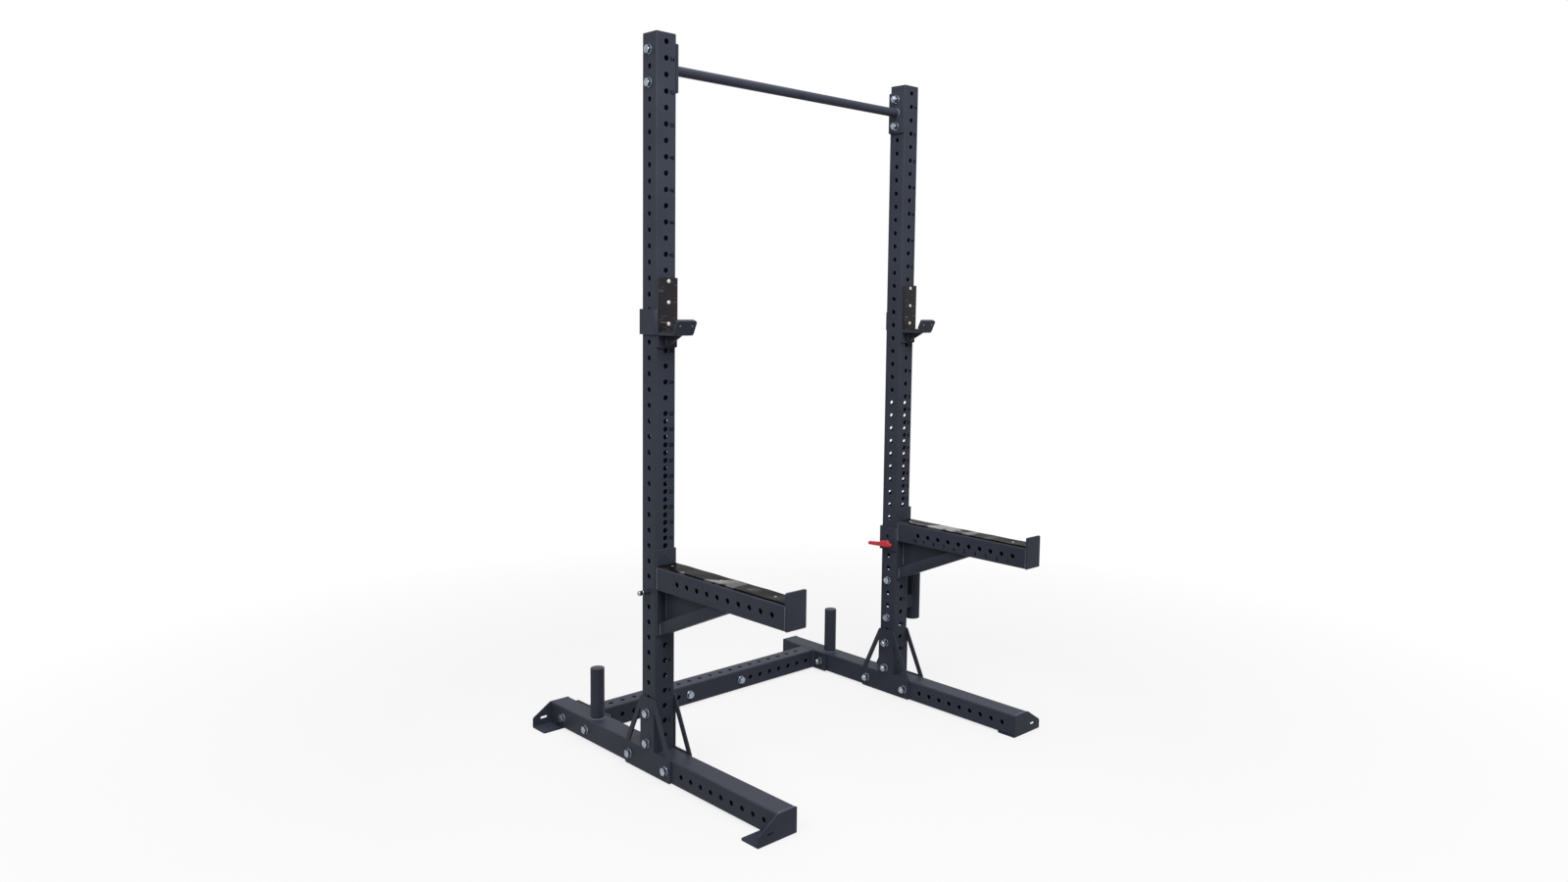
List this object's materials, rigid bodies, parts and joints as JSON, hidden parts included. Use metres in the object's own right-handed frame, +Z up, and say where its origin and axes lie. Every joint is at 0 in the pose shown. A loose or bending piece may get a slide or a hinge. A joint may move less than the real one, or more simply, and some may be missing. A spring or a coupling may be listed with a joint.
{
  "type": "squat rack",
  "caption": "Free-standing squat rack of square perforated tube with a pull-up bar, J-hooks, pinned spotter arms, plate pegs and a barbell holder",
  "frame": {"origin": "on the floor, at the middle of the four floor bolt holes", "axes": "+X to the right along the pull-up bar as seen from the front, -Y to the front where the spotter arms reach, +Z up"},
  "size_m": [1.371, 1.278, 2.359],
  "materials": {
    "frame_coat": "fine-textured matt anthracite powder coat",
    "zinc_steel": "bright zinc plating",
    "black_plastic": "moulded black end caps",
    "arm_plastic": "glossy black wear strip",
    "hook_plastic": "scuffed dark wear plate",
    "red_grip": "moulded red lever grip"
  },
  "bodies": {
    "frame": {"left_upright": "frame_coat", "right_upright": "frame_coat", "left_base_beam": "frame_coat", "right_base_beam": "frame_coat", "left_front_foot": "frame_coat", "right_front_foot": "frame_coat", "left_rear_foot": "frame_coat", "right_rear_foot": "frame_coat", "left_outer_gusset": "frame_coat", "right_outer_gusset": "frame_coat", "left_inner_gusset": "frame_coat", "right_inner_gusset": "frame_coat", "left_crossbeam_flange": "frame_coat", "right_crossbeam_flange": "frame_coat", "left_plate_peg": "frame_coat", "right_plate_peg": "frame_coat", "left_bar_flange": "frame_coat", "right_bar_flange": "frame_coat", "left_arm_mount": "frame_coat", "right_arm_mount": "frame_coat", "left_arm_plug": "zinc_steel", "right_arm_plug": "zinc_steel", "left_arm_tube": "frame_coat", "right_arm_tube": "frame_coat", "left_arm_end_stop": "frame_coat", "right_arm_end_stop": "frame_coat", "left_arm_liner": "arm_plastic", "right_arm_liner": "arm_plastic", "left_arm_brace": "frame_coat", "right_arm_brace": "frame_coat", "left_arm_web": "frame_coat", "right_arm_web": "frame_coat", "upright_caps": "black_plastic", "crossbeam": "frame_coat", "peg_caps": "black_plastic", "pull_up_bar": "frame_coat", "holder_plate": "frame_coat", "holder_tube": "frame_coat", "holder_spacer": "frame_coat", "hex_bolts": "zinc_steel", "hex_nuts": "zinc_steel"},
    "left_hook": {"left_hook_bracket": "frame_coat", "left_hook_plug": "zinc_steel", "left_hook_cup": "frame_coat", "left_hook_rib": "frame_coat", "left_hook_back_liner": "hook_plastic", "left_hook_seat_liner": "hook_plastic", "left_hook_lip_liner": "hook_plastic"},
    "left_pin": {"left_lock_pin": "zinc_steel", "left_pin_grip": "red_grip"},
    "right_hook": {"right_hook_bracket": "frame_coat", "right_hook_plug": "zinc_steel", "right_hook_cup": "frame_coat", "right_hook_rib": "frame_coat", "right_hook_back_liner": "hook_plastic", "right_hook_seat_liner": "hook_plastic", "right_hook_lip_liner": "hook_plastic"},
    "right_pin": {"right_lock_pin": "zinc_steel", "right_pin_grip": "red_grip"}
  },
  "joints": [
    {"name": "left_hook_turn", "type": "hinge", "parent": "frame", "child": "left_hook", "pos_m": [-0.5625, -0.027, 1.581], "axis": [0, 1, 0], "range_deg": [0, 90]},
    {"name": "left_pin_slide", "type": "slide", "parent": "frame", "child": "left_pin", "axis": [1, 0, 0], "range_m": [0, 0.12]},
    {"name": "right_hook_turn", "type": "hinge", "parent": "frame", "child": "right_hook", "pos_m": [0.5625, -0.027, 1.581], "axis": [0, -1, 0], "range_deg": [0, 90]},
    {"name": "right_pin_slide", "type": "slide", "parent": "frame", "child": "right_pin", "axis": [-1, 0, 0], "range_m": [0, 0.12]}
  ]
}
